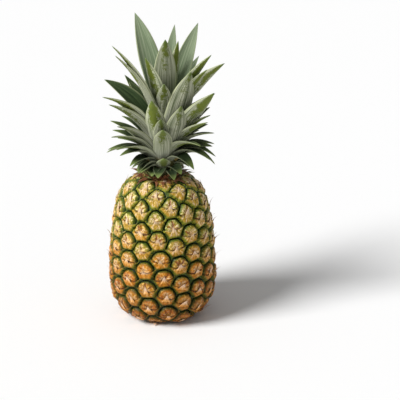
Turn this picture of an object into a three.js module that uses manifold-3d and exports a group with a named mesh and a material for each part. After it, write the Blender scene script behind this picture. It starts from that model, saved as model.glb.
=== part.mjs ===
// A whole pineapple with its crown, standing upright on its cut base.
// Units are millimetres, +Z is up, and the origin is the centre of the flat spot it stands on.
import * as THREE from "three";
import { ConvexHull } from "three/addons/math/ConvexHull.js";
import { mergeVertices } from "three/addons/utils/BufferGeometryUtils.js";
import Module from "manifold-3d";

const wasm = await Module();
wasm.setup();

// Driving dimensions of the fruit
const FRUIT_HEIGHT = 160;
const FRUIT_RADIUS = 55.5; // to the mean skin, at the widest level
const WIDEST_LEVEL = 0.33; // share of the height
const EYE_AREA_BASE = 465; // mm2 of skin for each eye at the base
const EYE_AREA_TOP = 340;
const EYE_DIVERGENCE = 99.85; // degrees from one eye to the next, which lines them up in 18 ranks
const EYE_PHASE = -80; // azimuth of the lowest eye
const EYE_SCATTER = 0.8; // most that an eye strays from its regular place, each way
const GROOVE_DEPTH = 1.3;
const EYE_HEIGHT = 2.6;
const BRACT_TIP = 4.6; // how far a bract's tip stands off the mean skin

// Driving dimensions of the stalk and of the crown
const STALK_RADIUS = 13;
const STALK_LENGTH = 7;
const GAP = 0.3; // clearance kept between separate pieces
const STEM_RADIUS = 17;
const STEM_HEIGHT = 80;
const CROWN_LEAN = 0.035; // the crown leans this share of its height towards +X
const LEAF_DIVERGENCE = 137.508;

const UP = new THREE.Vector3(0, 0, 1);
const degrees = THREE.MathUtils.degToRad;
const { lerp, clamp } = THREE.MathUtils;

// A repeatable scatter value in -1..1 for leaf or eye i and property j.
function scatter(i, j) {
  const s = Math.sin(i * 12.9898 + j * 78.233) * 43758.5453;
  return 2 * (s - Math.floor(s)) - 1;
}

// Linear interpolation of y at x in two rising lists.
function lookUp(x, xs, ys) {
  const i = clamp(xs.findIndex((v) => v > x), 1, xs.length - 1);
  const share = clamp((x - xs[i - 1]) / (xs[i] - xs[i - 1]), 0, 1);
  return lerp(ys[i - 1], ys[i], xs[xs.length - 1] <= x ? 1 : share);
}

// A closed geometry as a solid that can be joined or cut.
function solidOf(geometry, tolerance = 1e-4) {
  const bare = geometry.clone();
  bare.deleteAttribute("normal");
  bare.deleteAttribute("uv");
  const merged = mergeVertices(bare, tolerance);
  return new wasm.Manifold(
    new wasm.Mesh({
      numProp: 3,
      vertProperties: merged.attributes.position.array,
      triVerts: new Uint32Array(merged.index.array),
    }),
  );
}

// A solid as a geometry.
function geometryOf(solid) {
  const mesh = solid.getMesh();
  const geometry = new THREE.BufferGeometry();
  geometry.setAttribute("position", new THREE.BufferAttribute(mesh.vertProperties, 3));
  geometry.setIndex(new THREE.BufferAttribute(mesh.triVerts, 1));
  geometry.computeVertexNormals();
  return geometry;
}

// The main body of a solid, without loose scraps and without sealed hollows.
function mainBody(solid) {
  return solid.decompose().reduce((a, b) => (a.volume() > b.volume() ? a : b));
}

// Joins solids into one body. The later passes take out the slivers of the joins, and the
// hollows that close with them.
function fuse(solids) {
  const joined = mainBody(wasm.Manifold.union(solids));
  const smooth = mainBody(solidOf(geometryOf(joined), 5e-3).simplify(0.08));
  return mainBody(solidOf(geometryOf(smooth), 2e-3));
}

function geometryFrom(points, triangles) {
  const geometry = new THREE.BufferGeometry().setFromPoints(points);
  geometry.setIndex(triangles);
  geometry.computeVertexNormals();
  return geometry;
}

// Fruit skin: a surface of revolution, followed by its arc length from the base to the top.
const skinOutline = new THREE.SplineCurve(
  [
    [0.001, 0],
    [0.24, 0],
    [0.5, 0.002],
    [0.75, 0.045],
    [0.92, 0.13],
    [0.99, 0.235],
    [1, WIDEST_LEVEL],
    [0.985, 0.47],
    [0.945, 0.62],
    [0.885, 0.75],
    [0.8, 0.86],
    [0.67, 0.94],
    [0.48, 0.985],
    [0.27, 1],
    [0.001, 1],
  ].map(([r, z]) => new THREE.Vector2(r * FRUIT_RADIUS, z * FRUIT_HEIGHT)),
);
const SKIN_STEPS = 600;
const skin = { s: [0], r: [], z: [], count: [0], q: [0] };
skinOutline.getSpacedPoints(SKIN_STEPS).forEach((p, i, all) => {
  skin.r.push(Math.max(p.x, 0.05));
  skin.z.push(clamp(p.y, 0, FRUIT_HEIGHT));
  if (i === 0) return;
  const step = p.distanceTo(all[i - 1]);
  const r = (skin.r[i] + skin.r[i - 1]) / 2;
  const area = lerp(EYE_AREA_BASE, EYE_AREA_TOP, i / SKIN_STEPS);
  skin.s.push(skin.s[i - 1] + step);
  skin.count.push(skin.count[i - 1] + (2 * Math.PI * r * step) / area);
  skin.q.push(skin.q[i - 1] + step / r);
});
const skinMiddle = skin.q[SKIN_STEPS / 2];

function skinPoint(s, azimuth) {
  const r = lookUp(s, skin.s, skin.r);
  return new THREE.Vector3(r * Math.cos(azimuth), r * Math.sin(azimuth), lookUp(s, skin.s, skin.z));
}

// Direction up the skin, from the base towards the crown.
function skinUp(s, azimuth) {
  const step = 1.5;
  return skinPoint(s + step, azimuth).sub(skinPoint(s - step, azimuth)).normalize();
}

// The skin maps onto a sphere without stretching small shapes, so that the sphere's own
// nearest-neighbour cells are the cells of the eyes.
function sphereDirection(s, azimuth) {
  const polar = 2 * Math.atan(Math.exp(lookUp(s, skin.s, skin.q) - skinMiddle));
  const r = Math.sin(polar);
  return new THREE.Vector3(r * Math.cos(azimuth), r * Math.sin(azimuth), -Math.cos(polar));
}

function skinFromSphere(direction) {
  const polar = Math.acos(clamp(-direction.z, -1, 1));
  const q = Math.log(Math.tan(polar / 2)) + skinMiddle;
  return skinPoint(lookUp(q, skin.q, skin.s), Math.atan2(direction.y, direction.x));
}

// One eye for each share of the skin's area, turned on by the divergence each time.
function eyePlaces() {
  const first = lookUp(0.4 * FRUIT_RADIUS, skin.s, skin.count);
  const last = lookUp(skin.s[SKIN_STEPS] - 0.36 * FRUIT_RADIUS, skin.s, skin.count);
  const places = [];
  for (let n = first + 0.5; n < last; n += 1) {
    const i = places.length;
    const s = lookUp(n, skin.count, skin.s) + EYE_SCATTER * scatter(i, 5);
    const stray = (EYE_SCATTER * scatter(i, 6)) / lookUp(s, skin.s, skin.r);
    places.push({ s, azimuth: degrees(EYE_PHASE + i * EYE_DIVERGENCE) + stray });
  }
  return places;
}

// The corners of each eye's cell, in order round it, from the hull of the eyes on the sphere.
function eyeCells(places) {
  const directions = places.map((p) => sphereDirection(p.s, p.azimuth));
  directions.push(UP.clone(), UP.clone().negate());
  const hull = new ConvexHull().setFromPoints(directions);
  const order = new Map(directions.map((d, i) => [d, i]));
  const corners = hull.faces.map((face) => skinFromSphere(face.normal));
  const cells = directions.map(() => []);
  hull.faces.forEach((face, corner) => {
    let edge = face.edge;
    do {
      const eye = order.get(edge.head().point);
      cells[eye].push({ corner, direction: face.normal });
      edge = edge.next;
    } while (edge !== face.edge);
  });
  cells.forEach((cell, i) => {
    const side = new THREE.Vector3(1, 0, 0).cross(directions[i]).normalize();
    const other = directions[i].clone().cross(side);
    const turn = (c) => Math.atan2(c.direction.dot(other), c.direction.dot(side));
    cell.sort((a, b) => turn(a) - turn(b));
  });
  return { corners, cells: cells.map((cell) => cell.map((c) => c.corner)) };
}

// The fruit: one body whose skin carries the eyes. Each eye is a low dome in its own cell, with
// a groove round it and a bract that rises from its lower half to a pointed tip.
function fruitGeometry() {
  const places = eyePlaces();
  const { corners, cells } = eyeCells(places);
  const points = corners.map((c) => {
    const outward = new THREE.Vector3(c.x, c.y, 0).normalize();
    const inset = c.z > 0 && c.z < FRUIT_HEIGHT ? GROOVE_DEPTH : 0;
    return c.clone().addScaledVector(outward, -inset);
  });
  const triangles = [];
  const add = (point) => points.push(point.setZ(clamp(point.z, 0, FRUIT_HEIGHT))) - 1;
  const bridge = (outer, inner) => {
    outer.forEach((a, j) => {
      const next = (j + 1) % outer.length;
      triangles.push(a, outer[next], inner[j], inner[j], outer[next], inner[next]);
    });
  };
  cells.forEach((rim, i) => {
    if (i >= places.length) {
      const centre = add(new THREE.Vector3(0, 0, i === places.length ? FRUIT_HEIGHT : 0));
      rim.forEach((a, j) => triangles.push(a, rim[(j + 1) % rim.length], centre));
      return;
    }
    const { s, azimuth } = places[i];
    const middle = skinPoint(s, azimuth);
    const up = skinUp(s, azimuth);
    const across = new THREE.Vector3(-Math.sin(azimuth), Math.cos(azimuth), 0);
    const out = across.clone().cross(up);
    const relief = clamp(Math.min(s - 20, skin.s[SKIN_STEPS] - 25 - s) / 30, 0.35, 1);
    // A ring is the rim drawn in to a share of its size and raised, more on the bract's side.
    const ring = (share, height, bract) =>
      rim.map((corner) => {
        const arm = corners[corner].clone().sub(middle);
        const lower = clamp(-arm.dot(up) / arm.length(), 0, 1);
        const raised = relief * (height + bract * lower);
        return add(middle.clone().addScaledVector(arm, share).addScaledVector(out, raised));
      });
    const shoulder = ring(0.82, 0.45 * EYE_HEIGHT, 0.3);
    const dome = ring(0.5, EYE_HEIGHT, 0.9);
    const tip = middle.clone().addScaledVector(out, relief * BRACT_TIP).addScaledVector(up, 2.2);
    bridge(rim, shoulder);
    bridge(shoulder, dome);
    const tipIndex = add(tip);
    dome.forEach((a, j) => triangles.push(a, dome[(j + 1) % dome.length], tipIndex));
  });
  return geometryFrom(points, triangles);
}

// The hole in the base that the stalk sits in.
function stalkSocket() {
  const depth = STALK_LENGTH + GAP;
  const socket = new THREE.CylinderGeometry(STALK_RADIUS + GAP, STALK_RADIUS + GAP, 2 * depth, 24);
  return solidOf(socket.rotateX(Math.PI / 2));
}

// The cut stalk: a short woody stub, flush with the flat spot of the base.
function stalkGeometry() {
  const outline = [
    [0, 0],
    [STALK_RADIUS - 0.6, 0],
    [STALK_RADIUS, 0.6],
    [STALK_RADIUS, STALK_LENGTH],
    [0, STALK_LENGTH],
  ].map(([r, z]) => new THREE.Vector2(r, z));
  return new THREE.LatheGeometry(outline, 24).rotateX(Math.PI / 2);
}

// Half-width of a leaf as a share of its greatest, at a share of its length from the tip. It
// swells to full width, holds it, and draws in again where it clasps the stem.
function leafTaper(fromTip) {
  const swell = 1 - clamp(1 - fromTip / 0.46, 0, 1) ** 2.1;
  const clasp = 1 - 0.2 * clamp((fromTip - 0.7) / 0.3, 0, 1) ** 2;
  return swell * clasp;
}

// A leaf is a tapering channelled blade along an arched midrib. Its midrib runs from the stem to
// a tip at the given reach from the axis and height over the fruit's top. Bow is how far the
// midrib arches up off the straight line between them, as a share of that line, and roll is
// how many degrees the blade turns about its midrib towards the tip.
function leafSolid({ azimuth, reach, tipHeight, width, bow, roll }) {
  const large = width > 21.5;
  const rootHeight = Math.max(4.5, 0.38 * tipHeight - 18);
  const root = new THREE.Vector2(0.4 * stemRadiusAt(rootHeight), rootHeight);
  const tip = new THREE.Vector2(reach, tipHeight);
  const chord = tip.clone().sub(root);
  const stations = clamp(Math.round(chord.length() / 14), 5, 7);
  const rise = new THREE.Vector2(-chord.y, chord.x).multiplyScalar(2 * bow);
  const knee = root.clone().add(tip).multiplyScalar(0.5).add(rise);
  const midrib = new THREE.QuadraticBezierCurve(root, knee, tip);
  const outward = new THREE.Vector3(Math.cos(degrees(azimuth)), Math.sin(degrees(azimuth)), 0);
  const level = new THREE.Vector3().crossVectors(UP, outward);
  const half = [-1, -0.5, 0, 0.5, 1].filter((u) => large || Math.abs(u) !== 0.5);
  const ring = [...half.map((u) => [u, 1]), ...half.map((u) => [-u, -1])];
  const points = [];
  for (let k = 0; k < stations; k++) {
    const t = (k / stations) ** 0.9;
    const p = midrib.getPoint(t);
    const along = midrib.getTangent(t);
    const upright = outward.clone().multiplyScalar(-along.y).addScaledVector(UP, along.x);
    const turn = degrees(roll) * clamp(2 * t - 0.2, 0, 1);
    const side = level.clone().multiplyScalar(Math.cos(turn)).addScaledVector(upright, Math.sin(turn));
    const face = upright.multiplyScalar(Math.cos(turn)).addScaledVector(level, -Math.sin(turn));
    const taper = leafTaper(1 - t);
    const fold = lerp(degrees(58), degrees(28), t);
    const thick = lerp(1.1, 0.5, t);
    ring.forEach(([u, top]) => {
      const lift = (0.5 * width * taper * (1 - Math.cos(fold * u))) / fold;
      const sideways = (0.5 * width * taper * Math.sin(fold * u)) / fold;
      const rise = lift + top * lerp(thick, 0.32, Math.abs(u));
      const centre = outward.clone().multiplyScalar(p.x).setZ(p.y);
      points.push(centre.addScaledVector(side, sideways).addScaledVector(face, rise));
    });
  }
  points.push(outward.clone().multiplyScalar(tip.x).setZ(tip.y));
  const n = ring.length;
  const triangles = [];
  for (let j = 0; j < n; j++) {
    const next = (j + 1) % n;
    for (let k = 0; k + 1 < stations; k++) {
      const [a, b, c, d] = [k * n + j, k * n + next, (k + 1) * n + j, (k + 1) * n + next];
      triangles.push(a, c, b, b, c, d);
    }
    triangles.push((stations - 1) * n + j, stations * n, (stations - 1) * n + next);
    if (j > 0 && j + 1 < n) triangles.push(0, j, j + 1);
  }
  return solidOf(geometryFrom(points, triangles));
}

// The crown's stem, a short cone that the leaves wrap.
function stemRadiusAt(height) {
  return lookUp(height, [0, 5, 40, STEM_HEIGHT], [STEM_RADIUS, STEM_RADIUS, 10, 3]);
}

function stemSolid() {
  const heights = [GAP, 8, 24, 40, 60, STEM_HEIGHT];
  const outline = heights.map((z) => new THREE.Vector2(stemRadiusAt(z), z));
  outline.unshift(new THREE.Vector2(0, GAP));
  outline.push(new THREE.Vector2(0, STEM_HEIGHT));
  return solidOf(new THREE.LatheGeometry(outline, 16).rotateX(Math.PI / 2));
}

// The tall leaves and the ones that face the front, each placed to follow the real crown.
// Azimuth in degrees (-90 is the front), reach, height of the tip, width, bow and roll.
const PRINCIPAL_LEAVES = [
  [138, 46, 171, 25, 0.05, -35],
  [67, 22, 161, 17, 0.02, 0],
  [26, 37, 164, 21, 0.03, 55],
  [2, 13, 149, 17, 0.01, -60],
  [-92, 16, 155, 27, 0.06, 0],
  [-131, 32, 138, 23, 0.06, 0],
  [-147, 66, 154, 17, 0.07, 0],
  [-147, 62, 143, 17, 0.08, 0],
  [137, 60, 99, 19, 0.08, 0],
  [165, 67, 101, 24, 0.14, -25],
  [42, 48, 123, 19, 0.07, 0],
  [-27, 54, 141, 20, 0.07, -25],
  [-22, 67, 132, 25, 0.09, -35],
  [-32, 52, 126, 19, 0.08, -20],
  [-44, 38, 123, 27, 0, -40],
  [-91, 26, 110, 22, 0.08, 0],
  [-29, 60, 101, 27, 0.03, -30],
  [-111, 36, 94, 24, 0, 12],
  [-61, 38, 88, 24, -0.03, -20],
  [-94, 38, 75, 20, 0.06, 0],
  [-90, 43, 65, 22, 0.05, 0],
  [-152, 73, 98, 20, 0.14, 20],
  [-151, 66, 89, 19, 0.12, 25],
  [26, 55, 68, 19, 0.1, 0],
  [-17, 52, 72, 19, 0.12, -20],
  [-33, 56, 69, 19, 0.12, -20],
  [159, 62, 53, 18, 0.14, 0],
  [-144, 60, 66, 19, 0.13, 20],
  [157, 60, 42, 18, 0.16, 0],
  [-152, 62, 52, 18, 0.18, 15],
  [-13, 56, 51, 18, 0.2, -10],
  [13, 57, 30, 17, 0.24, 0],
  [-43, 56, 45, 19, 0.24, -15],
  [-144, 60, 40, 18, 0.2, 10],
  [-150, 52, 30, 17, 0.26, 0],
  [-11, 58, 24, 16, 0.34, 0],
  [-141, 44, 19, 16, 0.3, 0],
  [-39, 44, 15, 18, 0.4, 0],
  [-86, 25, 27, 17, -0.04, 0],
  [3, 57, 10, 16, 0.36, 0],
  [-24, 56, 24, 16, 0.34, 0],
  [168, 62, 20, 16, 0.26, 0],
  [-166, 60, 33, 16, 0.22, 0],
  [-64, 31, 3, 13, 0.3, 0],
  [-134, 36, 10, 18, 0.3, 25],
  [-112, 29, 7, 14, 0.26, 0],
];

// The rest by rule, each leaf turned on from the last by the golden angle. The lowest are a short
// collar that droops, and the others are longer and steeper the higher they grow. Above the
// level FRONT_FROM the front is left to the leaves listed above.
const RULE_LEAVES = 54;
const FRONT_FROM = 0.28;

function ruleLeaves() {
  const leaves = [];
  for (let i = 0; i < RULE_LEAVES; i++) {
    const level = i / (RULE_LEAVES - 1);
    const azimuth = 20 + i * LEAF_DIVERGENCE + 5 * scatter(i, 1);
    const front = Math.sin(degrees(azimuth)) < -0.1;
    if (front && level > FRONT_FROM) continue;
    leaves.push({
      azimuth,
      reach: lookUp(level, [0, 0.25, 0.45, 1], [26, 35, 53, 50]) * (1 + 0.07 * scatter(i, 2)),
      tipHeight: lookUp(level, [0, 0.25, 0.5, 1], [6, 11, 30, 110]) + 3 * scatter(i, 3),
      width: lookUp(level, [0, 0.25, 1], [15, 15, 20]),
      bow: lookUp(level, [0, 0.3, 1], [0.3, 0.26, 0.1]),
      roll: 15 * scatter(i, 4),
    });
  }
  return leaves;
}

// The crown: one body of stem and leaves.
function crownGeometry() {
  const principal = PRINCIPAL_LEAVES.map(([azimuth, reach, tipHeight, width, bow, roll]) => ({
    azimuth, reach, tipHeight, width, bow, roll,
  }));
  const leaves = [...ruleLeaves(), ...principal].map(leafSolid);
  const lean = new THREE.Matrix4().set(1, 0, CROWN_LEAN, 0, 0, 1, 0, 0, 0, 0, 1, 0, 0, 0, 0, 1);
  return geometryOf(fuse([stemSolid(), ...leaves].map((solid) => solid.transform(lean.elements))));
}

const skinMaterial = new THREE.MeshStandardMaterial({
  name: "skin", color: 0xb98a34, roughness: 0.6, metalness: 0, flatShading: true,
});
const leafMaterial = new THREE.MeshStandardMaterial({
  name: "leaf", color: 0x5f7a4c, roughness: 0.55, metalness: 0, flatShading: true,
});
const stalkMaterial = new THREE.MeshStandardMaterial({
  name: "stalk", color: 0xa58a5c, roughness: 0.85, metalness: 0,
});

function named(name, geometry, material) {
  const mesh = new THREE.Mesh(geometry, material);
  mesh.name = name;
  return mesh;
}

const pineapple = new THREE.Group();
pineapple.add(
  named("fruit", geometryOf(solidOf(fruitGeometry()).subtract(stalkSocket())), skinMaterial),
);
pineapple.add(named("stalk", stalkGeometry(), stalkMaterial));
const crown = named("crown", crownGeometry(), leafMaterial);
crown.position.z = FRUIT_HEIGHT;
pineapple.add(crown);

export default pineapple;
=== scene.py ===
import math

import bpy
import numpy as np
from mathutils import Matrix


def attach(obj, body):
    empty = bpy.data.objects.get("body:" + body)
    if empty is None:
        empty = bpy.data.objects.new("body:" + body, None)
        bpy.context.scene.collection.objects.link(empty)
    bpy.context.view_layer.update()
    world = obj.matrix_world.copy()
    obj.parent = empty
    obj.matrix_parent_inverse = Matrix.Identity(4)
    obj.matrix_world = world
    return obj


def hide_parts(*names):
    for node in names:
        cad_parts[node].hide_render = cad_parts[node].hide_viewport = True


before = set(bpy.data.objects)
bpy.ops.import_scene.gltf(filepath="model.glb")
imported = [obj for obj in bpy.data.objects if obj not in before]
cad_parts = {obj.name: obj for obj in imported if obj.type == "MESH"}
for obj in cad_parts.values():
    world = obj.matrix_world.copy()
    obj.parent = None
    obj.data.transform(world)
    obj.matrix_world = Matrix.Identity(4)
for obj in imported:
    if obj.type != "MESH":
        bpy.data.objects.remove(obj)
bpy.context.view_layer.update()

# The fruit. Many small berries grown together round a core into one barrel, 160 mm tall and
# about 118 mm across. Each berry shows as an eye: a low six-sided cushion with a dark groove
# round it. Lengths are in millimetres until a mesh is written.
FRUIT_HEIGHT = 160
FRUIT_RADIUS = 55.5
EYE_AREA_BASE = 465  # square millimetres of skin for each eye
EYE_AREA_TOP = 340
EYE_DIVERGENCE = 99.85  # degrees from one eye to the next
EYE_PHASE = -80  # azimuth of the lowest eye
EYE_SCATTER = 0.8  # most that an eye strays from its regular place, each way
EYE_TILT = 0.36  # radians between the eyes that tilt most, left and right
BARE_BASE = 0.4  # share of the radius that has no eyes, at each end
BARE_CREST = 0.36
RIM_DEPTH = 0.9  # how deep an eye's rim lies under the bare skin
SKIN_OUTLINE = np.array([
    (0.001, 0), (0.24, 0), (0.5, 0.002), (0.75, 0.045), (0.92, 0.13), (0.99, 0.235), (1, 0.33),
    (0.985, 0.47), (0.945, 0.62), (0.885, 0.75), (0.8, 0.86), (0.67, 0.94), (0.48, 0.985),
    (0.27, 1), (0.001, 1),
]) * (FRUIT_RADIUS, FRUIT_HEIGHT)
SKIN_STEPS = 600


def smooth_step(low, high, x):
    """0 below low, 1 above high and an S-curve between them."""
    share = np.clip((x - low) / (high - low), 0, 1)
    return share * share * (3 - 2 * share)


def scatter(i, j):
    """A repeatable number from -1 to 1 for eye or leaf i and property j: the fraction of a large
    multiple of the sine of the two."""
    s = np.sin(i * 12.9898 + j * 78.233) * 43758.5453
    return 2 * (s - np.floor(s)) - 1


def unit(v):
    """Vectors along the last axis, each divided by its length."""
    return v / np.linalg.norm(v, axis=-1, keepdims=True)


def grown_outline(points, steps):
    """A spline through the points whose slope at each point is half the step between its two
    neighbours, cut into equal lengths."""
    before = np.vstack([points[:1], points[:-2]])
    after = np.vstack([points[2:], points[-1:]])
    start, end = points[:-1, None], points[1:, None]
    slope_start = (end - before[:, None]) / 2
    slope_end = (after[:, None] - start) / 2
    t = np.linspace(0, 1, 60, endpoint=False)[None, :, None]
    curve = (
        (2 * start - 2 * end + slope_start + slope_end) * t**3
        + (3 * end - 3 * start - 2 * slope_start - slope_end) * t**2
        + slope_start * t
        + start
    )
    curve = np.vstack([curve.reshape(-1, 2), points[-1:]])
    run = np.append(0, np.cumsum(np.linalg.norm(np.diff(curve, axis=0), axis=1)))
    even = np.linspace(0, run[-1], steps + 1)
    return np.stack([np.interp(even, run, curve[:, 0]), np.interp(even, run, curve[:, 1])], 1)


skin_r, skin_z = grown_outline(SKIN_OUTLINE, SKIN_STEPS).T
skin_r = np.maximum(skin_r, 0.05)
skin_z = np.clip(skin_z, 0, FRUIT_HEIGHT)
skin_step = np.hypot(np.diff(skin_r), np.diff(skin_z))
skin_mean_r = (skin_r[1:] + skin_r[:-1]) / 2
eye_growth = (EYE_AREA_TOP - EYE_AREA_BASE) * np.arange(1, SKIN_STEPS + 1) / SKIN_STEPS
eye_area = EYE_AREA_BASE + eye_growth
skin_s = np.append(0, np.cumsum(skin_step))
skin_count = np.append(0, np.cumsum(2 * np.pi * skin_mean_r * skin_step / eye_area))
skin_q = np.append(0, np.cumsum(skin_step / skin_mean_r))
skin_q -= skin_q[SKIN_STEPS // 2]


def on_skin(s, azimuth):
    """Point, outward normal and up direction of the bare skin: the outline at arc length s,
    turned to the azimuth."""
    r, z = np.interp(s, skin_s, skin_r), np.interp(s, skin_s, skin_z)
    dr = np.interp(s + 1.5, skin_s, skin_r) - np.interp(s - 1.5, skin_s, skin_r)
    dz = np.interp(s + 1.5, skin_s, skin_z) - np.interp(s - 1.5, skin_s, skin_z)
    length = np.maximum(np.hypot(dr, dz), 1e-6)
    dr, dz = dr / length, dz / length
    c, d = np.cos(azimuth), np.sin(azimuth)
    return (
        np.stack([r * c, r * d, z], -1),
        np.stack([dz * c, dz * d, -dr], -1),
        np.stack([dr * c, dr * d, dz], -1),
    )


def to_ball(s, azimuth):
    """The skin laid on a unit ball without stretching small shapes: the polar angle is twice
    the arctangent of e to the running sum of step over radius."""
    polar = 2 * np.arctan(np.exp(np.interp(s, skin_s, skin_q)))
    return np.stack(
        [np.sin(polar) * np.cos(azimuth), np.sin(polar) * np.sin(azimuth), -np.cos(polar)], -1
    )


def from_ball(direction):
    """Arc length and azimuth on the skin of a direction on the ball."""
    polar = np.arccos(np.clip(-direction[..., 2], -1, 1))
    q = np.log(np.tan(np.clip(polar, 1e-6, np.pi - 1e-6) / 2))
    return np.interp(q, skin_q, skin_s), np.arctan2(direction[..., 1], direction[..., 0])


first_eye = np.interp(BARE_BASE * FRUIT_RADIUS, skin_s, skin_count) + 0.5
last_eye = np.interp(skin_s[-1] - BARE_CREST * FRUIT_RADIUS, skin_s, skin_count)
eye_number = np.arange(first_eye, last_eye)
eye_s = np.interp(eye_number, skin_count, skin_s)
eye_azimuth = np.radians(EYE_PHASE + np.arange(len(eye_s)) * EYE_DIVERGENCE)
eye_s += EYE_SCATTER * scatter(np.arange(len(eye_s)), 5)
eye_azimuth += EYE_SCATTER * scatter(np.arange(len(eye_s)), 6) / np.interp(eye_s, skin_s, skin_r)
seeded = np.random.default_rng(7)


def relief(s):
    """How much of the full relief the eyes have at arc length s: all of it but near the two
    ends, where it falls over 30 mm to about a third."""
    return np.clip(np.minimum(s - 20, skin_s[-1] - 25 - s) / 30, 0.35, 1)


eye_relief = relief(eye_s)
EYES = len(eye_s)
ball = np.vstack([to_ball(eye_s, eye_azimuth), (0, 0, 1), (0, 0, -1)])


def shared_corners(ball):
    """Three eyes share a corner where no other eye lies beyond the plane through them. Returns
    each corner's direction and its three eyes."""
    found = {}
    for i, middle in enumerate(ball):
        near = np.argsort(-(ball @ middle))[1:17]
        j, k = np.triu_indices(len(near), 1)
        j, k = near[j], near[k]
        normal = np.cross(ball[j] - middle, ball[k] - middle)
        normal *= np.where(normal @ middle < 0, -1, 1)[:, None]
        beyond = normal @ ball.T - np.sum(normal * middle, 1)[:, None]
        clear = np.all(beyond < 1e-9, axis=1)
        for a, b, n in zip(j[clear], k[clear], normal[clear]):
            found[tuple(sorted((i, a, b)))] = unit(n)
    return np.array(list(found.values())), np.array(list(found))


corner_ball, corner_eyes = shared_corners(ball)
EDGE_STEPS = 8


def cell_rim(eye):
    """Directions round the rim of an eye's cell: its corners in order, with each edge cut into
    equal steps."""
    own = corner_ball[np.any(corner_eyes == eye, axis=1)]
    side = unit(np.cross((1, 0, 0.01), ball[eye]))
    other = np.cross(ball[eye], side)
    own = own[np.argsort(np.arctan2(own @ other, own @ side))]
    t = np.arange(EDGE_STEPS)[None, :, None] / EDGE_STEPS
    return unit((own[:, None] * (1 - t) + np.roll(own, -1, axis=0)[:, None] * t).reshape(-1, 3))


# Rings of points on an eye, each at a share of the way from its middle to its rim.
RING_SHARES = np.array(
    [1, 0.97, 0.94, 0.91, 0.875, 0.83, 0.77, 0.7, 0.61, 0.51, 0.4, 0.28, 0.16, 0.06]
)
CREASE_TURNS = np.array((-1.7, -0.75, 0, 0.75, 1.7))  # radians from straight up
HUB_HEIGHT = 1.6  # height of an eye's middle over the bare skin
eye_points, eye_faces, eye_owner = [], [], []
eye_flat, eye_border, eye_over, eye_crease = [], [], [], []
eye_width, eye_length = np.zeros(EYES), np.zeros(EYES)
eye_chance = seeded.random((EYES + 2, 10))


def smile(x):
    """Level of the upper edge of a bract's body across an eye: a parabola, low in the middle,
    with wings that rise to the two side corners."""
    return -0.3 + 0.32 * x * x


def eye_border_share(x, y, share):
    """How far out a place on an eye lies, 1 at its border, and whether it is on the bract's
    body. The body below fills the cell to its rim, so there it is the share of the way to the
    rim. The cushion above is round, so there it is at least the distance from the middle, and
    the cell's upper corners stay free."""
    body = smooth_step(0.08, -0.06, y - smile(x))
    return share + (np.maximum(share, 1.05 * np.hypot(x, y)) - share) * (1 - body), body


def eye_height(x, y, border, body, share, chance):
    """Height over the bare skin in millimetres. The cushion and the bract's body each have a
    profile from the middle to the rim, and the seam is where the one changes to the other. A
    bell curve is cut out across each crease, which runs out from the middle between two lobes,
    and along the seam, and a cosine folds the body. Returns the distance to a crease too."""
    cushion = np.interp(
        border,
        [0, 0.2, 0.45, 0.62, 0.74, 0.82, 0.88, 0.93, 0.965, 1],
        [1.4, 2.4, 3.1, 3.1, 2.5, 1.3, -0.9, -2.4, -2.4, -RIM_DEPTH],
    )
    shield = np.interp(
        share, [0, 0.3, 0.6, 0.8, 0.9, 0.96, 1], [2.9, 3.3, 3.1, 2.3, 1.5, 0.5, -RIM_DEPTH]
    )
    angle = np.arctan2(x, y + 0.1)
    aside = [
        np.abs(angle - turn - 0.6 * (draw - 0.5)) * np.hypot(x, y) + 0.14 * (draw * 7 % 1)
        for turn, draw in zip(CREASE_TURNS, chance)
    ]
    away = np.min(aside, axis=0)
    crease = np.exp(-((away / 0.09) ** 2)) * smooth_step(0.9, 0.7, border) * (1 - body)
    folds = 0.3 * np.cos(11 * x / (0.35 + 0.65 * share)) * smooth_step(0.95, 0.7, share) * body
    seam = np.exp(-(((y - smile(x) - 0.05) / 0.07) ** 2)) * smooth_step(0.95, 0.8, border)
    swell = 0.3 * (chance[5] - 0.5) * smooth_step(1, 0.9, share)
    form = cushion + (shield - cushion) * body - 0.8 * crease - 0.9 * seam + folds
    return form * (1 + swell), away


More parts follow.
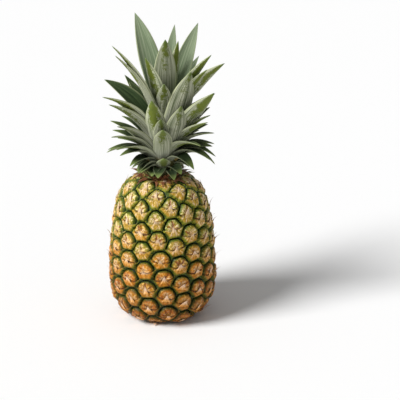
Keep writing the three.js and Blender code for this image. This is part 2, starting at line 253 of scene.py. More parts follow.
for eye in range(EYES):
    rim = cell_rim(eye)
    middle, middle_out, middle_up = on_skin(eye_s[eye], eye_azimuth[eye])
    across = np.cross(middle_up, middle_out)
    share = RING_SHARES[:, None]
    grid_s, grid_azimuth = from_ball(
        unit(ball[eye] * (1 - share[..., None]) + rim[None] * share[..., None])
    )
    place, out, _ = on_skin(grid_s, grid_azimuth)
    arm = place - middle
    x, y = arm @ across, arm @ middle_up
    eye_width[eye] = np.sqrt(2 * np.mean(x[0] ** 2))
    eye_length[eye] = np.sqrt(2 * np.mean(y[0] ** 2))
    x, y = x / eye_width[eye], y / eye_length[eye]
    tilt = EYE_TILT * (eye_chance[eye, 0] - 0.5)
    x, y = x * np.cos(tilt) + y * np.sin(tilt), y * np.cos(tilt) - x * np.sin(tilt)
    share = share * np.ones_like(x)
    border, body = eye_border_share(x, y, share)
    height, away = eye_height(x, y, border, body, share, eye_chance[eye, 4:])
    points = place + out * (height * relief(grid_s))[..., None]
    hub = middle + middle_out * eye_relief[eye] * HUB_HEIGHT
    start = sum(len(p) for p in eye_points)
    rings, spokes = x.shape
    j = np.arange(spokes)
    k = np.arange(rings - 1)[:, None]
    here, after = start + k * spokes + j, start + k * spokes + (j + 1) % spokes
    quads = np.stack([here, after, after + spokes, here + spokes], -1).reshape(-1, 4)
    last = start + (rings - 1) * spokes
    fan = np.stack([last + j, last + (j + 1) % spokes, np.full(spokes, start + rings * spokes)], 1)
    eye_points.append(np.vstack([points.reshape(-1, 3), hub]))
    eye_flat.append(np.vstack([np.stack([x, y], -1).reshape(-1, 2), (0, 0)]))
    eye_border.append(np.append(border.ravel(), 0))
    eye_over.append(np.append((y - smile(x)).ravel(), -smile(0)))
    eye_crease.append(np.append(away.ravel(), 0))
    eye_faces += quads.tolist() + fan.tolist()
    eye_owner += [eye] * (len(quads) + len(fan))

# The two ends of the fruit, a flat spot round the stalk's hollow below and a flat crest under
# the crown above, close the skin.
STALK_RADIUS = 13
STALK_LENGTH = 7
GAP = 0.3  # clearance kept between separate pieces
for eye, levels in ((EYES, [FRUIT_HEIGHT]), (EYES + 1, [0, STALK_LENGTH + GAP])):
    rim_s, rim_azimuth = from_ball(cell_rim(eye))
    place, out, _ = on_skin(rim_s, rim_azimuth)
    place = place - RIM_DEPTH * relief(rim_s)[:, None] * out
    circle = np.stack([np.cos(rim_azimuth), np.sin(rim_azimuth)], -1) * (STALK_RADIUS + GAP)
    rings = [place, *(np.column_stack([circle, np.full(len(circle), z)]) for z in levels)]
    start = sum(len(p) for p in eye_points)
    spokes = len(circle)
    j = np.arange(spokes)
    after = (j + 1) % spokes
    for k in range(len(levels)):
        low = start + k * spokes
        quads = np.stack([low + j, low + after, low + after + spokes, low + j + spokes], -1)
        eye_faces += quads.tolist()
    low = start + len(levels) * spokes
    eye_faces += np.stack([low + j, low + after, np.full(spokes, low + spokes)], 1).tolist()
    eye_points.append(np.vstack([*rings, (0, 0, levels[-1])]))
    eye_flat.append(np.zeros((len(rings) * spokes + 1, 2)))
    for values in (eye_border, eye_over, eye_crease):
        values.append(np.ones(len(rings) * spokes + 1))
    eye_owner += [eye] * (len(rings) * spokes)

eye_points = np.vstack(eye_points)
eye_points[:, 2] = np.clip(eye_points[:, 2], 0, FRUIT_HEIGHT)
eye_flat = np.vstack(eye_flat)
eye_border = np.concatenate(eye_border)
eye_over = np.concatenate(eye_over)
eye_crease = np.concatenate(eye_crease)


MILLIMETRE = 0.001  # in metres


def write_piece(name, points, faces):
    """A smooth mesh object at the origin from points in millimetres, with the points that meet
    made one. Returns the object and, for each of its corners, the point it came from."""
    corners = np.concatenate([np.asarray(f) for f in faces])
    rounded, one = np.unique(np.round(points, 4), axis=0, return_inverse=True)
    one = one.ravel()
    mesh = bpy.data.meshes.new(name)
    sizes = np.array([len(f) for f in faces])
    mesh.vertices.add(len(rounded))
    mesh.vertices.foreach_set("co", (rounded * MILLIMETRE).ravel())
    mesh.loops.add(len(corners))
    mesh.loops.foreach_set("vertex_index", one[corners])
    mesh.polygons.add(len(sizes))
    mesh.polygons.foreach_set("loop_start", np.append(0, np.cumsum(sizes)[:-1]))
    mesh.polygons.foreach_set("use_smooth", np.ones(len(sizes), dtype=bool))
    mesh.update(calc_edges=True)
    mesh.validate()
    piece = bpy.data.objects.new(name, mesh)
    bpy.context.scene.collection.objects.link(piece)
    return piece, corners


def lay_flat(piece, name, flat):
    """A UV map with the two given numbers at each corner."""
    layer = piece.data.uv_layers.new(name=name)
    layer.data.foreach_set("uv", np.asarray(flat, dtype=np.float32).ravel())


def note(piece, name, kind, values):
    """A named number on each corner or face, for the material to read."""
    layer = piece.data.attributes.new(name, "FLOAT", kind)
    layer.data.foreach_set("value", np.asarray(values, dtype=np.float32))


skin, skin_corners = write_piece("fruit_skin", eye_points, eye_faces)
lay_flat(skin, "eye", eye_flat[skin_corners])
note(skin, "border", "CORNER", eye_border[skin_corners])
note(skin, "over", "CORNER", eye_over[skin_corners])
note(skin, "crease", "CORNER", eye_crease[skin_corners])
note(skin, "chance", "FACE", eye_chance[np.array(eye_owner), 1])


def paint(red, green, blue):
    """A paint colour given as it shows on screen, 0 to 255."""
    c = np.array([red, green, blue]) / 255
    return (*np.where(c < 0.04045, c / 12.92, ((c + 0.055) / 1.055) ** 2.4), 1)


class Recipe:
    """A material or node group under construction: each call adds one node and returns its
    result, and a number, a colour or another node's result can be given for any input."""

    def __init__(self, tree):
        self.tree = tree

    def add(self, kind, *values, out=0, **settings):
        """A node of any kind, with its settings and the values of its inputs in use."""
        node = self.tree.nodes.new(kind)
        for key, value in settings.items():
            setattr(node, key, value)
        for socket, value in zip([s for s in node.inputs if s.enabled], values):
            self.give(socket, value)
        return [s for s in node.outputs if s.enabled][out]

    def give(self, socket, value):
        """Joins another node's result to an input, or sets the input to a plain value."""
        if isinstance(value, bpy.types.NodeSocket):
            self.tree.links.new(value, socket)
        elif value is not None:
            socket.default_value = value

    def place(self):
        """Where each point of the piece is, in metres."""
        return self.add("ShaderNodeTexCoord", out=3)

    def noted(self, name):
        """A number noted on the mesh."""
        return self.add("ShaderNodeAttribute", out=2, attribute_name=name)

    def part(self, vector, axis):
        """One of the three numbers of a place: 0 across, 1 along or 2 up."""
        return self.add("ShaderNodeSeparateXYZ", vector, out=axis)

    def math(self, operation, a, b=0.0, c=0.0):
        """One step of arithmetic, by the name that the node gives it."""
        return self.add("ShaderNodeMath", a, b, c, operation=operation)

    def step(self, value, low, high):
        """An S-curve from 0 at low to 1 at high."""
        return self.add(
            "ShaderNodeMapRange", value, low, high, 0.0, 1.0, interpolation_type="SMOOTHSTEP"
        )

    def between(self, share, low, high):
        """The number at a share of the way from low to high."""
        return self.add("ShaderNodeMapRange", share, 0.0, 1.0, low, high)

    def mix(self, share, a, b, blend="MIX"):
        """The colour at a share of the way from a to b."""
        node = self.tree.nodes.new("ShaderNodeMix")
        node.data_type, node.blend_type = "RGBA", blend
        self.give(node.inputs[0], share)
        self.give(node.inputs[6], a)
        self.give(node.inputs[7], b)
        return node.outputs[2]

    def multiply(self, a, b):
        """One colour tinted by another."""
        return self.mix(1.0, a, b, "MULTIPLY")

    def noise(self, where, scale, detail=3.0, rough=0.5):
        """Cloudy values from 0 to 1 over a place."""
        node = self.tree.nodes.new("ShaderNodeTexNoise")
        self.give(node.inputs["Vector"], where)
        for key, value in (("Scale", scale), ("Detail", detail), ("Roughness", rough)):
            node.inputs[key].default_value = value
        return node.outputs[0]

    def bump(self, shader, height, strength, distance):
        """Fine relief on a shader: the height times the distance in metres."""
        node = self.tree.nodes.new("ShaderNodeBump")
        node.inputs["Strength"].default_value = strength
        node.inputs["Distance"].default_value = distance
        self.give(node.inputs["Height"], height)
        self.give(shader.inputs["Normal"], node.outputs[0])


def new_material(name):
    """An empty material with its recipe and its main shader."""
    material = bpy.data.materials.new(name)
    material.use_nodes = True
    recipe = Recipe(material.node_tree)
    return material, recipe, material.node_tree.nodes["Principled BSDF"]


# The look of a dry papery scale, for the bract's body on the skin and for its loose end: strands
# that fan out from the foot, brown between and pale on top.
papery = bpy.data.node_groups.new("papery scale", "ShaderNodeTree")
for name, kind, way in (
    ("Across", "NodeSocketFloat", "INPUT"), ("Along", "NodeSocketFloat", "INPUT"),
    ("Chance", "NodeSocketFloat", "INPUT"), ("Ripe", "NodeSocketFloat", "INPUT"),
    ("Colour", "NodeSocketColor", "OUTPUT"),
    ("Strands", "NodeSocketFloat", "OUTPUT"),
):
    papery.interface.new_socket(name=name, in_out=way, socket_type=kind)
r = Recipe(papery)
given = papery.nodes.new("NodeGroupInput").outputs
fan = r.math("ARCTAN2", given["Across"], r.math("SUBTRACT", 0.35, given["Along"]))
strand_place = r.add(
    "ShaderNodeCombineXYZ",
    r.math("MULTIPLY", fan, 5.5),
    r.math("MULTIPLY", given["Along"], 1.8),
    r.math("MULTIPLY", given["Chance"], 40.0),
)
strands = r.noise(strand_place, 1.0, 3.0, 0.75)
dark = r.mix(given["Ripe"], paint(120, 92, 16), paint(126, 62, 4))
plain = r.mix(given["Ripe"], paint(186, 150, 48), paint(206, 134, 16))
colour = r.mix(r.step(strands, 0.32, 0.46), dark, plain)
pale = r.mix(given["Ripe"], paint(244, 212, 172), paint(242, 188, 116))
colour = r.mix(r.step(strands, 0.5, 0.62), colour, pale)
result = papery.nodes.new("NodeGroupOutput").inputs
r.give(result["Colour"], colour)
r.give(result["Strands"], strands)


def papery_scale(recipe, across, along, chance, ripe):
    """The papery scale placed in a material. Returns its two outputs by name."""
    node = recipe.tree.nodes.new("ShaderNodeGroup")
    node.node_tree = papery
    for name, value in (("Across", across), ("Along", along), ("Chance", chance), ("Ripe", ripe)):
        recipe.give(node.inputs[name], value)
    return node.outputs


RIPE_LEVELS = (0.14, 0.04)  # the fruit is green above the first and golden below the second

skin_material, r, shader = new_material("pineapple skin")
place = r.place()
flat = r.add("ShaderNodeUVMap", uv_map="eye")
border = r.noted("border")
over = r.noted("over")
away = r.noted("crease")
chance = r.noted("chance")
x = r.part(flat, 0)
y = r.part(flat, 1)
level = r.part(place, 2)
speckle = r.noise(place, 900.0, 3.0, 0.6)
blotch = r.noise(place, 300.0, 3.0, 0.65)
# The numbers on the mesh are roughened, so that no edge drawn from them is clean.
wander = r.math("MULTIPLY_ADD", r.noise(place, 330.0, 4.0, 0.65), 0.8, -0.4)
border = r.math("MULTIPLY_ADD", wander, 0.14, border)
over = r.math("MULTIPLY_ADD", wander, 0.45, over)
away = r.math("MULTIPLY_ADD", wander, 0.5, away)
body = r.step(over, 0.04, -0.04)
middle = r.math("SQRT", r.math("MULTIPLY_ADD", x, x, r.math("MULTIPLY", y, y)))
# The cushion's lobes: green high on the fruit and golden low down, pale in the middle.
ripe = r.step(level, *RIPE_LEVELS)
ripe = r.math("ADD", ripe, r.math("MULTIPLY_ADD", chance, 0.7, -0.35))
ripe = r.math("ADD", ripe, r.math("MULTIPLY_ADD", blotch, 1.0, -0.5))
ripe = r.add("ShaderNodeClamp", ripe)
lobe = r.mix(ripe, paint(160, 148, 44), paint(212, 132, 10))
# Painted highlight: paler towards the middle, partly the lobes' own pale colour.
lobe = r.mix(r.step(middle, 0.42, 0.1), lobe, paint(242, 202, 136))
# Painted shade: greener and darker towards the rim, partly the rim's own green.
lobe_edge_and_shade = r.mix(ripe, paint(84, 104, 28), paint(128, 98, 20))
lobe = r.mix(r.step(border, 0.58, 0.8), lobe, lobe_edge_and_shade)
pale_blotch = r.mix(ripe, paint(228, 212, 136), paint(250, 196, 100))
lobe = r.mix(r.step(blotch, 0.52, 0.66), lobe, pale_blotch)
dark_blotch = r.mix(ripe, paint(150, 116, 34), paint(176, 92, 20))
lobe = r.mix(r.step(blotch, 0.46, 0.34), lobe, dark_blotch)
# A pale star in the middle, part streaks and part painted highlight; brown creases between the
# lobes.
star_place = r.add(
    "ShaderNodeCombineXYZ",
    r.math("MULTIPLY", r.math("ARCTAN2", x, y), 3.2),
    r.math("MULTIPLY", middle, 3.0),
    r.math("MULTIPLY", chance, 30.0),
)
star_and_highlight = r.step(r.noise(star_place, 1.0, 3.0, 0.7), 0.48, 0.62)
star_and_highlight = r.math("MULTIPLY", star_and_highlight, r.step(middle, 0.7, 0.35))
lobe = r.mix(star_and_highlight, lobe, paint(255, 228, 190))
crease = r.step(away, 0.12, 0.02)
crease = r.math("MULTIPLY", crease, r.step(border, 0.86, 0.6))
crease = r.math("MULTIPLY", crease, r.step(middle, 0.05, 0.22))
crease = r.math("MULTIPLY", crease, r.math("SUBTRACT", 1.0, body))
crease_brown = r.mix(blotch, paint(104, 44, 14), paint(168, 84, 26))
colour = r.mix(r.math("MULTIPLY", crease, 0.85), lobe, crease_brown)
# The bract's body below, with a green foot.
scale = papery_scale(r, x, y, chance, ripe)
foot = r.step(r.math("MULTIPLY_ADD", scale["Strands"], 0.4, border), 0.88, 1.08)
pale_green = r.mix(ripe, paint(160, 156, 46), paint(134, 130, 32))
foot_green = r.mix(r.step(scale["Strands"], 0.38, 0.64), paint(52, 74, 12), pale_green)
shield = r.mix(foot, scale["Colour"], foot_green)
colour = r.mix(body, colour, shield)
# The dark seam over the bract's body, the cushion's green rim and the groove round it.
# Painted shade: a dark brown line along the seam, where the body's edge would shade the cushion.
seam = r.step(r.math("ABSOLUTE", r.math("SUBTRACT", over, 0.07)), 0.1, 0.01)
seam = r.math("MULTIPLY", seam, r.step(border, 0.97, 0.85))
seam = r.math("MULTIPLY", seam, r.math("MULTIPLY_ADD", chance, 0.5, 0.35))
colour = r.mix(seam, colour, paint(66, 30, 10))
green_rim = r.mix(speckle, paint(44, 68, 20), paint(92, 112, 44))
upper = r.step(over, 0.0, 0.12)
colour = r.mix(r.math("MULTIPLY", upper, r.step(border, 0.76, 0.86)), colour, green_rim)
# Painted shade: the groove round the cushion is near-black green.
groove = r.math("MULTIPLY", upper, r.step(border, 0.84, 0.9))
groove = r.math("MULTIPLY", groove, r.step(border, 1.0, 0.975))
colour = r.mix(groove, colour, r.mix(speckle, paint(8, 16, 5), paint(24, 40, 12)))
# Painted shade: darker towards the foot, where little light comes from below, and riper there too.
painted_foot_shade = r.mix(r.step(level, 0.12, 0.0), (1, 1, 1, 1), (0.54, 0.42, 0.22, 1))
colour = r.multiply(colour, painted_foot_shade)
r.give(shader.inputs["Base Color"], colour)
r.give(shader.inputs["Roughness"], r.between(body, 0.32, 0.5))
shader.inputs["Specular IOR Level"].default_value = 0.22
grain = r.math("ADD", r.math("MULTIPLY", speckle, 0.6), r.math("MULTIPLY", blotch, 2.0))
grain = r.math("ADD", grain, r.math("MULTIPLY", body, scale["Strands"]))
r.bump(shader, r.math("SUBTRACT", grain, r.math("ADD", crease, seam)), 0.8, 0.0009)
skin.data.materials.append(skin_material)
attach(skin, "root")
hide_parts("fruit")

# The bracts. Each eye has one: a dry papery scale that grows from the foot of the eye, lies over
# its middle and ends in a thin curled point, clear of the skin. Withered ones grow round the
# foot of the crown, every second one up against its stem.
BRACT_ROUND = 8  # points round a scale
BRACT_LONG = 9  # rows of them along it
SHOULDER_SCALES = 110
SHOULDER_TURN = 1.37  # turn from one withered scale to the next, in turns between two eyes
SHOULDER_SPAN = 9  # how much of a withered scale its pattern spans
STEM_RADIUS = 17


def closed_tube(long, around):
    """Faces of a closed surface from rows of points round it, with one more point at each end:
    quads between the rows and triangles round the ends."""
    j = np.arange(around)
    k = np.arange(long - 1)[:, None]
    here, after = k * around + j, k * around + (j + 1) % around
    quads = np.stack([here, after, after + around, here + around], -1).reshape(-1, 4)
    low, high = long * around, long * around + 1
    foot = np.stack([(j + 1) % around, j, np.full(around, low)], 1)
    last = (long - 1) * around
    head = np.stack([last + j, last + (j + 1) % around, np.full(around, high)], 1)
    return quads.tolist() + foot.tolist() + head.tolist()


def scale_points(middle, across, along, out, half_width, start, end, height, rise, drift):
    """A scale as a flattened tube from start to end along its way. Its half width falls from
    the foot to the point as the sum of two powers of the share of length left, its middle
    stands higher than its edges, and it lifts off by the rise as the cube of the share run."""
    v = (np.arange(BRACT_LONG)[:, None] / BRACT_LONG) ** 0.9
    turn = -2 * np.pi * np.arange(BRACT_ROUND)[None] / BRACT_ROUND
    half = half_width * ((1 - v) ** 1.7 + 0.16 * (1 - v) ** 0.6)
    x = half * np.cos(turn) + drift * v**2
    y = start + (end - start) * v + 0 * x
    bow = 0.45 * np.sin(turn) ** 2 * (1 - v) + 0.14 * np.sin(turn) * (1 - 0.5 * v)
    z = height + 0.9 * np.sin(2.2 * v) + rise * v**3 + bow
    head = height + 0.73 + rise
    x, y, z = (
        np.append(grid.ravel(), ends)
        for grid, ends in ((x, (0, drift)), (y, (start, end)), (z, (height, head)))
    )
    points = middle + x[:, None] * across + y[:, None] * along + z[:, None] * out
    return points, np.append((v + 0 * turn).ravel(), (0, 1)), x, y


scales = []
for eye in range(EYES):
    middle, out, up = on_skin(eye_s[eye], eye_azimuth[eye])
    tilt, curl, drift, reach, breadth = eye_chance[eye, [0, 2, 3, 4, 5]]
    across, tilt = np.cross(up, out), EYE_TILT * (tilt - 0.5)
    points, run, x, y = scale_points(
        middle,
        across * np.cos(tilt) + up * np.sin(tilt),
        up * np.cos(tilt) - across * np.sin(tilt),
        out * eye_relief[eye],
        half_width=eye_width[eye] * (0.26 + 0.26 * breadth),
        start=eye_length[eye] * -0.42,
        end=eye_length[eye] * (0.16 + 0.5 * reach),
        height=2.6,
        rise=1 + 7.5 * curl**2,
        drift=4 * (drift - 0.5),
    )
    flat = np.stack([x / eye_width[eye], y / eye_length[eye]], -1)
    if points[:, 2].min() > 0.5:
        scales.append((points, run, flat, eye_chance[eye, 1]))
for i in range(SHOULDER_SCALES):
    chance = seeded.random(4)
    turn = math.radians(i * EYE_DIVERGENCE * SHOULDER_TURN)
    upright = i % 2
    rise = math.radians(45 * chance[0] - 12 + 60 * upright)
    radial = np.array([math.cos(turn), math.sin(turn), 0])
    off_stem = (1 + 5 * chance[3]) * (1 - 0.8 * upright)
    points, run, x, y = scale_points(
        radial * (STEM_RADIUS + off_stem) + (0, 0, FRUIT_HEIGHT - 1),
        np.array([radial[1], -radial[0], 0]),
        math.cos(rise) * radial + (0, 0, math.sin(rise)),
        (0, 0, math.cos(rise)) - math.sin(rise) * radial,
        half_width=3.2 + 2.6 * chance[1] + upright,
        start=-2,
        end=9 + 9 * chance[2],
        height=0,
        rise=-1 - 3 * chance[3],
        drift=3 * (chance[1] - 0.5),
    )
    flat = np.stack([x / SHOULDER_SPAN, y / SHOULDER_SPAN], -1)
    scales.append((points, run, flat, 1 + chance[2] ** (1 - 0.5 * upright)))
bract_faces = []
one_bract = closed_tube(BRACT_LONG, BRACT_ROUND)
for number, (points, *rest) in enumerate(scales):
    bract_faces += [[number * len(points) + c for c in face] for face in one_bract]
bract_all, bract_run, bract_flat, bract_chance = (
    np.concatenate([np.atleast_1d(scale[k]) for scale in scales]) for k in range(4)
)
bracts, bract_corners = write_piece("eye_bracts", bract_all, bract_faces)
lay_flat(bracts, "eye", bract_flat[bract_corners])
note(bracts, "run", "CORNER", bract_run[bract_corners])
note(bracts, "chance", "FACE", np.repeat(bract_chance, len(one_bract)))

bract_material, r, shader = new_material("dry bract")
flat = r.add("ShaderNodeUVMap", uv_map="eye")
run = r.noted("run")
chance = r.noted("chance")
level = r.part(r.place(), 2)
scale = papery_scale(r, r.part(flat, 0), r.part(flat, 1), chance, r.step(level, *RIPE_LEVELS))
pale = r.mix(scale["Strands"], paint(196, 146, 104), paint(255, 240, 222))
colour = r.mix(r.math("MULTIPLY", r.step(run, 0.1, 0.6), 0.8), scale["Colour"], pale)
brown_tip = r.math("MULTIPLY", r.step(run, 0.72, 0.98), r.step(chance, 0.3, 0.6))
colour = r.mix(brown_tip, colour, paint(120, 78, 46))
withered = r.mix(r.step(scale["Strands"], 0.35, 0.7), paint(74, 36, 16), paint(190, 128, 84))
withered = r.mix(r.step(chance, 1.8, 1.9), withered, paint(150, 160, 98))
colour = r.mix(r.step(chance, 1.0, 1.01), colour, withered)
r.give(shader.inputs["Base Color"], colour)
shader.inputs["Roughness"].default_value = 0.5
r.bump(shader, scale["Strands"], 0.6, 0.0005)
bracts.data.materials.append(bract_material)
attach(bracts, "root")

# The crown. A short stem wrapped in leaves that grew from it: stiff channelled blades, grey with
# bloom outside and dark green inside. The tall ones and the front ones are listed one by one.
CROWN_LEAN = 0.035  # how far the crown leans to the right, as a share of its height
LEAF_DIVERGENCE = 137.508  # degrees from one leaf to the next
STEM_HEIGHT = 80
# Each leaf's azimuth, which is -90 at the front, reach, height of its tip, width, bow and roll.
PRINCIPAL_LEAVES = [
    (138, 46, 171, 25, 0.05, -35), (67, 22, 161, 17, 0.02, 0), (26, 37, 164, 21, 0.03, 55),
    (2, 13, 149, 17, 0.01, -60), (-92, 16, 155, 27, 0.06, 0), (-131, 32, 138, 23, 0.06, 0),
    (-147, 66, 154, 17, 0.07, 0), (-147, 62, 143, 17, 0.08, 0), (137, 60, 99, 19, 0.08, 0),
    (165, 67, 101, 24, 0.14, -25), (42, 48, 123, 19, 0.07, 0), (-27, 54, 141, 20, 0.07, -25),
    (-22, 67, 132, 25, 0.09, -35), (-32, 52, 126, 19, 0.08, -20), (-44, 38, 123, 27, 0, -40),
    (-91, 26, 110, 22, 0.08, 0), (-29, 60, 101, 27, 0.03, -30), (-111, 36, 94, 24, 0, 12),
    (-61, 38, 88, 24, -0.03, -20), (-94, 38, 75, 20, 0.06, 0), (-90, 43, 65, 22, 0.05, 0),
    (-152, 73, 98, 20, 0.14, 20), (-151, 66, 89, 19, 0.12, 25), (26, 55, 68, 19, 0.1, 0),
    (-17, 52, 72, 19, 0.12, -20), (-33, 56, 69, 19, 0.12, -20), (159, 62, 53, 18, 0.14, 0),
    (-144, 60, 66, 19, 0.13, 20), (157, 60, 42, 18, 0.16, 0), (-152, 62, 52, 18, 0.18, 15),
    (-13, 56, 51, 18, 0.2, -10), (13, 57, 30, 17, 0.24, 0), (-43, 56, 45, 19, 0.24, -15),
    (-144, 60, 40, 18, 0.2, 10), (-150, 52, 30, 17, 0.26, 0), (-11, 58, 24, 16, 0.34, 0),
    (-141, 44, 19, 16, 0.3, 0), (-39, 44, 15, 18, 0.4, 0), (-86, 25, 27, 17, -0.04, 0),
    (3, 57, 10, 16, 0.36, 0), (-24, 56, 24, 16, 0.34, 0), (168, 62, 20, 16, 0.26, 0),
    (-166, 60, 33, 16, 0.22, 0), (-64, 31, 3, 13, 0.3, 0), (-134, 36, 10, 18, 0.3, 25),
    (-112, 29, 7, 14, 0.26, 0),
]
RULE_LEAVES = 54
FRONT_FROM = 0.28  # level above which the front is left to the listed leaves


def rule_leaves():
    """Leaves turned on by the golden angle, from the drooping lowest to the steep highest."""
    leaves = []
    for i in range(RULE_LEAVES):
        level = i / (RULE_LEAVES - 1)
        azimuth = 20 + i * LEAF_DIVERGENCE + 5 * scatter(i, 1)
        if math.sin(math.radians(azimuth)) < -0.1 and level > FRONT_FROM:
            continue
        reach = np.interp(level, [0, 0.25, 0.45, 1], [26, 35, 53, 50])
        reach *= 1 + 0.07 * scatter(i, 2)
        tip = np.interp(level, [0, 0.25, 0.5, 1], [6, 11, 30, 110]) + 3 * scatter(i, 3)
        bow = np.interp(level, [0, 0.3, 1], [0.3, 0.26, 0.1])
        width = np.interp(level, [0, 0.25, 1], [15, 15, 20])
        leaves.append((azimuth, reach, tip, width, bow, 15 * scatter(i, 4)))
    return leaves


def stem_radius(height):
    """Radius of the stem at a height over the fruit: it narrows from its foot to its tip."""
    return np.interp(height, [0, 5, 40, STEM_HEIGHT], [STEM_RADIUS, STEM_RADIUS, 10, 3])


LEAF_ACROSS = 11  # points across each side of a blade
LEAF_LONG = 36  # rows of them along it
FOLD_ROOT, FOLD_TIP = 58, 28  # half the degrees that the cross-section's arc turns through
THICK_ROOT, THICK_TIP, THICK_EDGE = 1.1, 0.5, 0.25  # half the blade's thickness


def leaf_points(azimuth, reach, tip_height, width, bow, roll):
    """A channelled blade. The midrib is a quadratic curve from the stem to the tip whose middle
    point stands off the straight line by twice the bow; the cross-section is an arc that
    flattens towards the tip; and the width swells from the tip as one less a power."""
    root_height = max(4.5, 0.38 * tip_height - 18)
    root = np.array([0.4 * stem_radius(root_height), root_height])
    tip = np.array([reach, tip_height])
    chord = tip - root
    knee = (root + tip) / 2 + 2 * bow * np.array([-chord[1], chord[0]])
    t = (np.arange(LEAF_LONG) / LEAF_LONG)[:, None] ** 0.9
    midrib = root * (1 - t) ** 2 + 2 * knee * t * (1 - t) + tip * t**2
    along = unit(2 * (1 - t) * (knee - root) + 2 * t * (tip - knee))
    a = math.radians(azimuth)
    outward = np.array([math.cos(a), math.sin(a), 0])
    level = np.array([-math.sin(a), math.cos(a), 0])
    up = np.array([0, 0, 1])
    upright = -along[:, 1:] * outward + along[:, :1] * up
    turn = np.radians(roll) * np.clip(2 * t - 0.2, 0, 1)
    side = level * np.cos(turn) + upright * np.sin(turn)
    face = upright * np.cos(turn) - level * np.sin(turn)
    swell = 1 - np.clip(1 - (1 - t) / 0.46, 0, 1) ** 2.1
    clasp = 1 - 0.2 * np.clip((0.3 - t) / 0.3, 0, 1) ** 2
    half = 0.5 * width * swell * clasp
    fold = np.radians(FOLD_ROOT + (FOLD_TIP - FOLD_ROOT) * t)
    thick = THICK_ROOT + (THICK_TIP - THICK_ROOT) * t
    u = np.linspace(-1, 1, LEAF_ACROSS)
    u = np.concatenate([u, u[::-1]])[None]
    top = np.repeat([-1, 1], LEAF_ACROSS)[None]
    lift = half * (1 - np.cos(fold * u)) / fold
    sideways = half * np.sin(fold * u) / fold
    rise = lift + top * (thick + (THICK_EDGE - thick) * np.abs(u))
    centre = midrib[:, :1] * outward + midrib[:, 1:] * up
    grid = centre[:, None] + sideways[..., None] * side[:, None] + rise[..., None] * face[:, None]
    ends = [centre[0], reach * outward + tip_height * up]
    points = np.vstack([grid.reshape(-1, 3), ends])
    points[:, 0] += CROWN_LEAN * points[:, 2]
    points[:, 2] += FRUIT_HEIGHT
    shape = grid.shape[:2]
    flat = np.stack([np.broadcast_to(u, shape), np.broadcast_to(t, shape)], -1).reshape(-1, 2)
    outer = np.broadcast_to((1 - top) / 2, shape).ravel()
    return points, np.vstack([flat, (0, 0), (0, 1)]), np.append(outer, (0.5, 0.5))


leaf_all, leaf_faces, leaf_flat, leaf_outer, leaf_chance, leaf_low = [], [], [], [], [], []
one_leaf = closed_tube(LEAF_LONG, 2 * LEAF_ACROSS)
for number, leaf in enumerate(rule_leaves() + PRINCIPAL_LEAVES):
    points, flat, outer = leaf_points(*leaf)
    start = number * len(points)
    leaf_all.append(points)
    leaf_flat.append(flat)
    leaf_outer.append(outer)
    leaf_faces += [[start + c for c in face] for face in one_leaf]
    leaf_chance += [scatter(number, 9) / 2 + 0.5] * len(one_leaf)
    leaf_low += [float(np.interp(leaf[2], [10, 110], [1, 0]))] * len(one_leaf)
leaves, leaf_corners = write_piece("crown_leaves", np.vstack(leaf_all), leaf_faces)
leaf_flat = np.vstack(leaf_flat)
lay_flat(leaves, "blade", leaf_flat[leaf_corners])
note(leaves, "outer", "CORNER", np.concatenate(leaf_outer)[leaf_corners])
note(leaves, "chance", "FACE", leaf_chance)
note(leaves, "low", "FACE", leaf_low)

leaf_material, r, shader = new_material("crown leaf")
place = r.place()
flat = r.add("ShaderNodeUVMap", uv_map="blade")
outer = r.noted("outer")
chance = r.noted("chance")
low = r.noted("low")
u = r.part(flat, 0)
v = r.part(flat, 1)
across = r.math("ABSOLUTE", u)
fibre_place = r.add(
    "ShaderNodeCombineXYZ",
    r.math("MULTIPLY", u, 16.0),
    r.math("MULTIPLY", v, 2.0),
    r.math("MULTIPLY", chance, 9.0),
)
fibres = r.noise(fibre_place, 1.0, 4.0, 0.65)
mottle = r.noise(place, 160.0, 4.0, 0.6)
# The outside: grey with bloom that is thickest at the foot and rubbed off towards the tip.
green = r.mix(mottle, paint(66, 82, 22), paint(122, 132, 48))
bloom = r.mix(r.step(fibres, 0.3, 0.7), paint(88, 100, 64), paint(218, 220, 192))
foot_bloom = r.mix(fibres, paint(108, 116, 86), paint(246, 246, 228))
bloom = r.mix(r.step(v, 0.56, 0.16), bloom, foot_bloom)
speckle = r.noise(place, 1100.0, 2.0, 0.6)
patch = r.math("MULTIPLY_ADD", r.math("SUBTRACT", mottle, 0.5), 0.9, v)
patch = r.math("MULTIPLY_ADD", r.math("SUBTRACT", speckle, 0.5), 0.7, patch)
patch = r.math("MULTIPLY_ADD", r.math("MULTIPLY", across, across), -0.62, patch)
patch = r.math("MULTIPLY_ADD", r.math("SUBTRACT", chance, 0.5), 0.3, patch)
outside = r.mix(r.step(patch, 0.54, 0.74), bloom, green)
outside = r.mix(r.step(v, 0.9, 1.0), outside, paint(92, 112, 44))
# The inside: dark green, darker on the lower leaves partly as painted shade, greyer on the tall
# ones.
inside = r.mix(r.step(fibres, 0.3, 0.7), paint(28, 44, 22), paint(72, 90, 56))
tall = r.mix(r.step(fibres, 0.3, 0.7), paint(98, 116, 84), paint(156, 168, 138))
inside = r.mix(r.step(low, 0.08, 0.0), inside, tall)
colour = r.mix(outer, inside, outside)
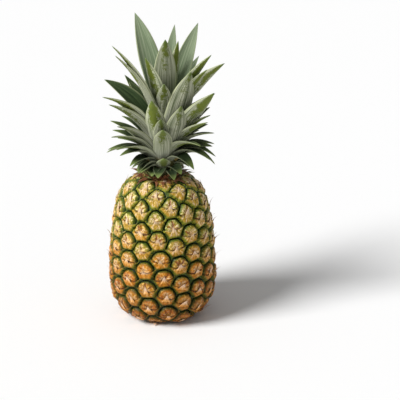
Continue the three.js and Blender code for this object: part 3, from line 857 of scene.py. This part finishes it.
# Painted shade darkens the low leaves; they have fresh tips and an ochre foot. Every margin is
# pale.
painted_low_shade = r.mix(outer, paint(30, 40, 22), paint(62, 70, 46))
colour = r.mix(r.math("MULTIPLY", low, 0.6), colour, painted_low_shade)
tone = r.between(chance, 0.74, 1.2)
colour = r.multiply(colour, r.add("ShaderNodeCombineColor", tone, tone, tone))
fresh = r.math("MULTIPLY", low, r.step(v, 0.74, 1.0))
colour = r.mix(fresh, colour, r.mix(mottle, paint(84, 104, 48), paint(140, 156, 86)))
margin = r.math("MULTIPLY", r.step(across, 0.82, 0.96), r.math("MULTIPLY_ADD", low, -0.4, 0.55))
colour = r.mix(margin, colour, paint(188, 194, 150))
ochre = r.math("MULTIPLY", r.step(low, 0, 0.7), r.step(v, 0.3, 0.14))
colour = r.mix(ochre, colour, paint(188, 156, 50))
r.give(shader.inputs["Base Color"], colour)
r.give(shader.inputs["Roughness"], r.between(outer, 0.6, 0.65))
shader.inputs["Specular IOR Level"].default_value = 0.2
r.bump(shader, fibres, 0.35, 0.0004)
leaves.data.materials.append(leaf_material)
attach(leaves, "root")
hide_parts("crown")


def turned(outline, spokes=48):
    """Points and faces of a solid of revolution: each (radius, height) of its outline carried
    round a circle. The outline starts and ends on the axis."""
    outline = np.asarray(outline, dtype=float)
    turn = 2 * np.pi * np.arange(spokes) / spokes
    body = outline[1:-1]
    ring = np.stack([np.cos(turn), np.sin(turn)], -1)
    heights = np.broadcast_to(body[:, None, 1:], (len(body), spokes, 1))
    grid = np.concatenate([body[:, None, :1] * ring[None], heights], -1)
    ends = [(0, 0, outline[0, 1]), (0, 0, outline[-1, 1])]
    return np.vstack([grid.reshape(-1, 3), ends]), closed_tube(len(body), spokes)


stem_levels = np.array([GAP, 5, 15, 27, 40, 60, STEM_HEIGHT])
stem_outline = [(0, GAP), *zip(stem_radius(stem_levels), stem_levels), (0, STEM_HEIGHT)]
stem_points, stem_faces = turned(stem_outline)
stem_points[:, 0] += CROWN_LEAN * stem_points[:, 2]
stem_points[:, 2] += FRUIT_HEIGHT
stem, _ = write_piece("crown_stem", stem_points, stem_faces)

stem_material, r, shader = new_material("crown stem")
place = r.place()
colour = r.mix(r.noise(place, 300.0), paint(44, 48, 20), paint(112, 106, 44))
r.give(shader.inputs["Base Color"], colour)
shader.inputs["Roughness"].default_value = 0.7
stem.data.materials.append(stem_material)
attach(stem, "root")

# The stalk. The stub left when the fruit was cut from its plant: woody, with a fibrous end face,
# flush with the flat spot that the fruit stands on.
STALK_ROUNDING = 0.6
stalk_points, stalk_faces = turned([
    (0, 0), (4, 0), (8, 0), (STALK_RADIUS - STALK_ROUNDING, 0), (STALK_RADIUS, STALK_ROUNDING),
    (STALK_RADIUS, STALK_LENGTH), (0, STALK_LENGTH),
])
stalk, _ = write_piece("cut_stalk", stalk_points, stalk_faces)

stalk_material, r, shader = new_material("cut stalk")
place = r.place()
strands = r.noise(place, 1800.0, 2.0)
colour = r.mix(strands, paint(128, 96, 52), paint(206, 180, 124))
r.give(shader.inputs["Base Color"], colour)
shader.inputs["Roughness"].default_value = 0.85
r.bump(shader, strands, 1.0, 0.0005)
stalk.data.materials.append(stalk_material)
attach(stalk, "root")
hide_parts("stalk")

# The studio: a plain pale floor, soft light from the upper left and a pale surround, and the
# camera at the photograph's angle.
FLOOR_HALF = 8  # metres
floor_signs = ((-1, -1), (1, -1), (1, 1), (-1, 1))
floor_corners = [(FLOOR_HALF * x, FLOOR_HALF * y, 0) for x, y in floor_signs]
floor_mesh = bpy.data.meshes.new("floor")
floor_mesh.from_pydata(floor_corners, [], [(0, 1, 2, 3)])
floor = bpy.data.objects.new("floor", floor_mesh)
bpy.context.scene.collection.objects.link(floor)
floor_material, r, shader = new_material("pale floor")
shader.inputs["Base Color"].default_value = (0.95, 0.95, 0.95, 1)
shader.inputs["Roughness"].default_value = 0.9
floor.data.materials.append(floor_material)

SURROUND_STRENGTH = 0.29
world = bpy.data.worlds.new("pale surround")
world.use_nodes = True
world.node_tree.nodes["Background"].inputs[0].default_value = (1, 1, 1, 1)
world.node_tree.nodes["Background"].inputs[1].default_value = SURROUND_STRENGTH
bpy.context.scene.world = world


def soft_light(name, strength, spread, azimuth, elevation):
    """A broad distant light from an azimuth and elevation in degrees, whose shadows blur over
    the spread."""
    light = bpy.data.lights.new(name, "SUN")
    light.energy = strength
    light.angle = math.radians(spread)
    lamp = bpy.data.objects.new(name, light)
    lamp.rotation_euler = (math.radians(90 - elevation), 0, math.radians(azimuth + 90))
    bpy.context.scene.collection.objects.link(lamp)


soft_light("key_light", strength=3.75, spread=26, azimuth=-151, elevation=40)

CAMERA_DISTANCE = 2.1
CAMERA_ELEVATION = math.radians(21)
PICTURE_SIDE = 400  # pixels
PIXELS_PER_METRE_AWAY = 1900
FOOT_PIXEL = (163, 310)  # where the centre of the flat spot shows in the picture
SENSOR_WIDTH = 36
camera_data = bpy.data.cameras.new("camera")
camera_data.sensor_width = SENSOR_WIDTH
camera_data.lens = PIXELS_PER_METRE_AWAY * SENSOR_WIDTH / PICTURE_SIDE
camera = bpy.data.objects.new("camera", camera_data)
forward = np.array([0, math.cos(CAMERA_ELEVATION), -math.sin(CAMERA_ELEVATION)])
upward = np.array([0, math.sin(CAMERA_ELEVATION), math.cos(CAMERA_ELEVATION)])
rightward = np.array([1, 0, 0])
camera.location = -CAMERA_DISTANCE * (
    forward
    + (FOOT_PIXEL[0] - PICTURE_SIDE / 2) / PIXELS_PER_METRE_AWAY * rightward
    + (PICTURE_SIDE / 2 - FOOT_PIXEL[1]) / PIXELS_PER_METRE_AWAY * upward
)
camera.rotation_euler = (math.pi / 2 - CAMERA_ELEVATION, 0, 0)
bpy.context.scene.collection.objects.link(camera)
bpy.context.scene.camera = camera
bpy.context.scene.view_settings.view_transform = "Standard"
